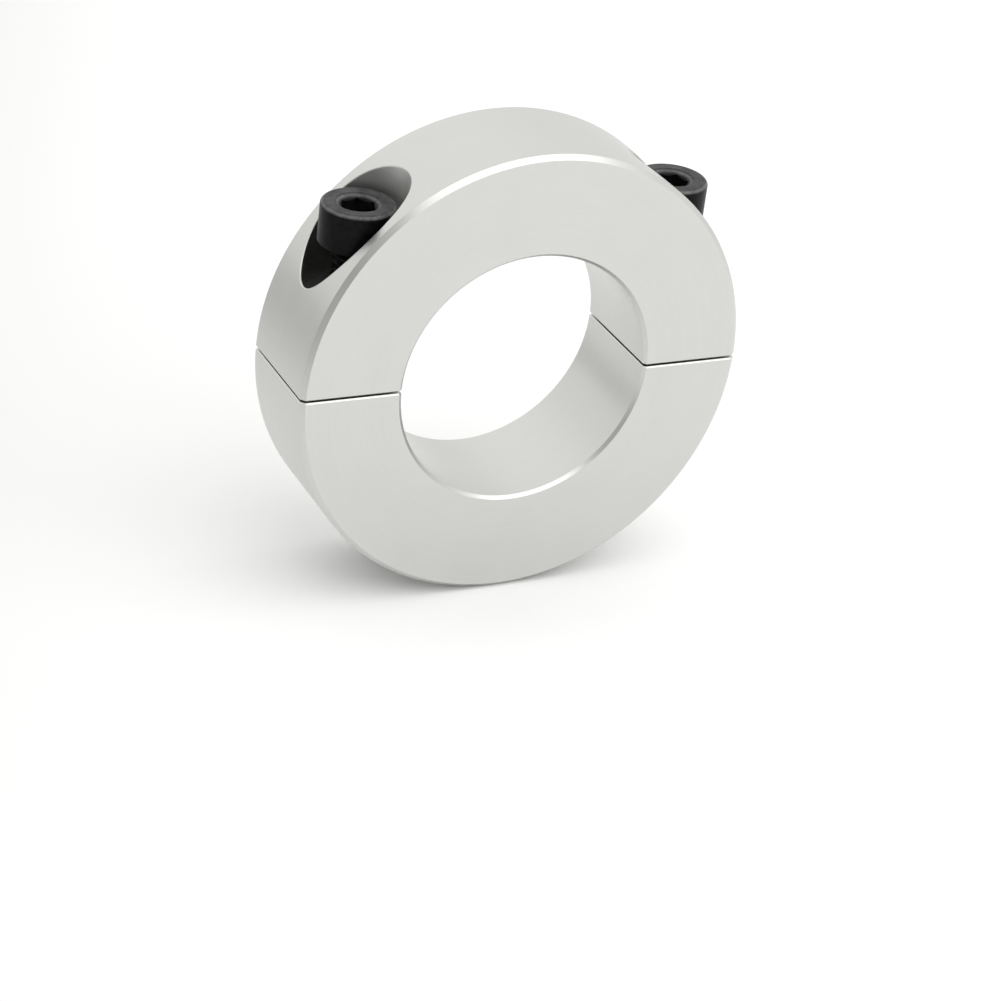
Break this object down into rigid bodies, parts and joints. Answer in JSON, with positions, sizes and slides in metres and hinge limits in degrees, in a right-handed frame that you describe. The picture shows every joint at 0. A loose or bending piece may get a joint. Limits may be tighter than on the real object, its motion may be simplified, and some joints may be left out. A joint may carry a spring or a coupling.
{
  "type": "shaft collar",
  "caption": "Two-piece clamp collar for a round shaft: two half rings drawn together by socket head cap screws that are backed out, so their heads stand proud of their pockets.",
  "frame": {"origin": "on the axis of the bore, halfway through the collar's width", "axes": "Y along the bore, with the front end face towards -Y; the split plane is Z = 0; the screws stand along Z with their heads at the +Z end; X runs from the left screw to the right one"},
  "size_m": [0.045, 0.012, 0.045],
  "materials": {
    "collar_aluminium": "fine-turned, clear anodised, satin",
    "black_screw": "alloy steel with black oxide, oiled, satin"
  },
  "bodies": {
    "lower_half": {"lower_half": "collar_aluminium"},
    "upper_half": {"upper_half": "collar_aluminium"},
    "left_screw": {"left_screw": "black_screw"},
    "right_screw": {"right_screw": "black_screw"}
  },
  "joints": [
    {"name": "upper_half_lift", "type": "slide", "parent": "lower_half", "child": "upper_half", "axis": [0, 0, 1], "range_m": [-0.00014, 0.0049]},
    {"name": "left_screw_turn", "type": "hinge", "parent": "upper_half", "child": "left_screw", "pos_m": [-0.016, 0, 0], "axis": [0, 0, 1], "range_deg": [-72, 2520]},
    {"name": "right_screw_turn", "type": "hinge", "parent": "upper_half", "child": "right_screw", "pos_m": [0.016, 0, 0], "axis": [0, 0, 1], "range_deg": [-72, 2520]}
  ],
  "couplings": [
    {"joint": "left_screw_turn", "follows": "upper_half_lift", "rad_per_m": 8976},
    {"joint": "right_screw_turn", "follows": "upper_half_lift", "rad_per_m": 8976}
  ]
}
